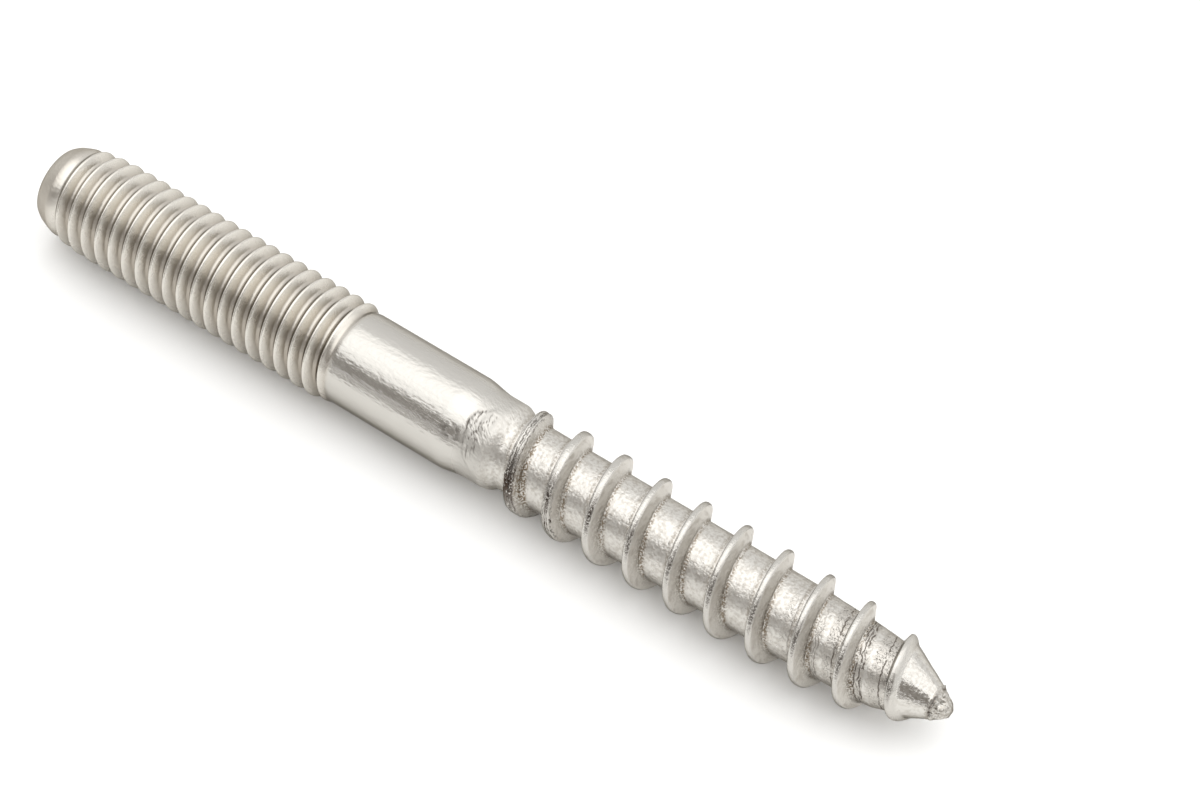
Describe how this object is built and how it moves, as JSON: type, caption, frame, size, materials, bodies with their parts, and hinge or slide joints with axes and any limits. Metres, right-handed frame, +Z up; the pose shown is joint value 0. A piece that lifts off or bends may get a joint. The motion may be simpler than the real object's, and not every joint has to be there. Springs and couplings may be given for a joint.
{
  "type": "hanger bolt",
  "caption": "Stainless hanger bolt: a machine thread with a chamfered flat end, a plain shank and neck, and a coarse wood-screw thread running out on a conical point with a broken pip.",
  "frame": {"origin": "middle of the bolt's length, on the ground under its axis", "axes": "+X along the bolt from the machine end face to the point, +Z up from the ground that it lies on"},
  "size_m": [0.06, 0.006, 0.0059],
  "materials": {
    "stainless": "bare rolled stainless steel, satin on the threads and polished on the shank"
  },
  "bodies": {
    "root": {"hanger_bolt": "stainless"}
  },
  "joints": []
}
